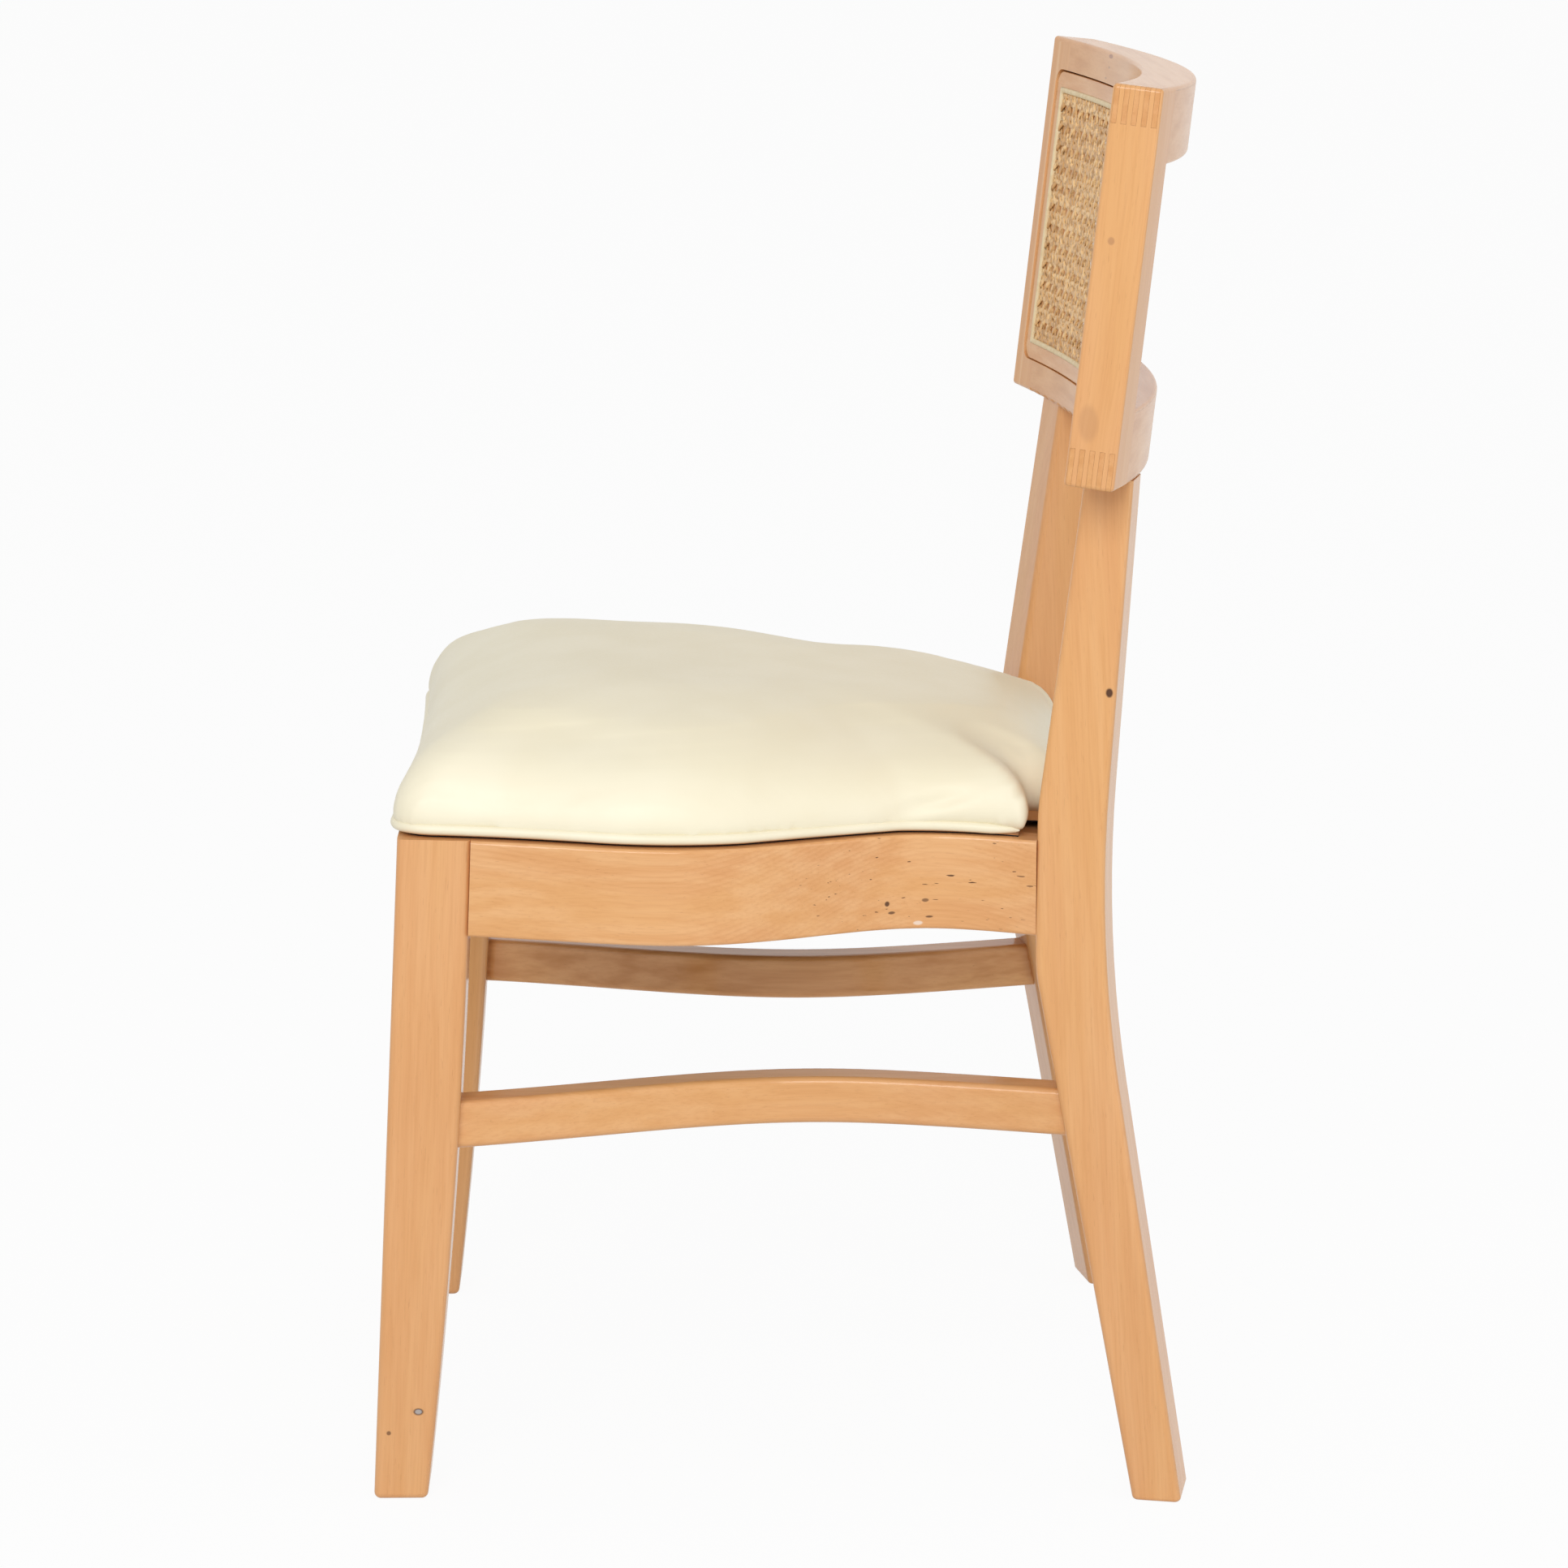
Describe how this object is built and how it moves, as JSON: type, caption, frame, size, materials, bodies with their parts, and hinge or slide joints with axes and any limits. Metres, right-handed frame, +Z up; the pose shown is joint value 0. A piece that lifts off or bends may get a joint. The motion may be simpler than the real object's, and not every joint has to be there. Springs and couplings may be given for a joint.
{
  "type": "dining chair",
  "caption": "Side chair with a curved wooden frame, an upholstered seat and a cane panel let into its leaning back, standing on raked legs joined by bowed stretchers.",
  "frame": {"origin": "on the floor, under the middle of the chair's overall box", "axes": "+Z up, -Y the way the sitter faces, +X the sitter's left"},
  "size_m": [0.4694, 0.4947, 0.8385],
  "materials": {
    "frame_wood": "satin clear lacquer on pale hardwood",
    "inner_wood": "bare",
    "dowel_wood": "bare",
    "plywood": "bare",
    "cane": "semi-gloss natural skin",
    "reed": "matte",
    "vinyl": "soft semi-matte vinyl with a fine grain",
    "foam": "open cell",
    "dust_cloth": "matte black cloth",
    "screw_steel": "zinc plated"
  },
  "bodies": {
    "root": {"front_rail": "frame_wood", "rear_rail": "frame_wood", "crest_rail": "frame_wood", "lower_back_rail": "frame_wood", "front_leg_left": "frame_wood", "front_leg_right": "frame_wood", "rear_leg_left": "frame_wood", "rear_leg_right": "frame_wood", "side_rail_left": "frame_wood", "side_rail_right": "frame_wood", "side_stretcher_left": "frame_wood", "side_stretcher_right": "frame_wood", "back_stile_left": "frame_wood", "back_stile_right": "frame_wood", "front_corner_block_left": "inner_wood", "front_corner_block_right": "inner_wood", "rear_corner_block_left": "inner_wood", "rear_corner_block_right": "inner_wood", "side_rail_dowels": "dowel_wood", "front_rail_dowels": "dowel_wood", "rear_rail_dowels": "dowel_wood", "stretcher_dowels": "dowel_wood", "post_dowels": "dowel_wood", "corner_block_screws": "screw_steel", "seat_screws": "screw_steel", "cane_frame_top": "frame_wood", "cane_frame_bottom": "frame_wood", "cane_frame_left": "frame_wood", "cane_frame_right": "frame_wood", "cane_spline": "reed", "cane_webbing": "cane", "dust_cover": "dust_cloth", "seat_board": "plywood", "seat_foam": "foam", "seat_cover": "vinyl", "seat_piping": "vinyl"}
  },
  "joints": []
}
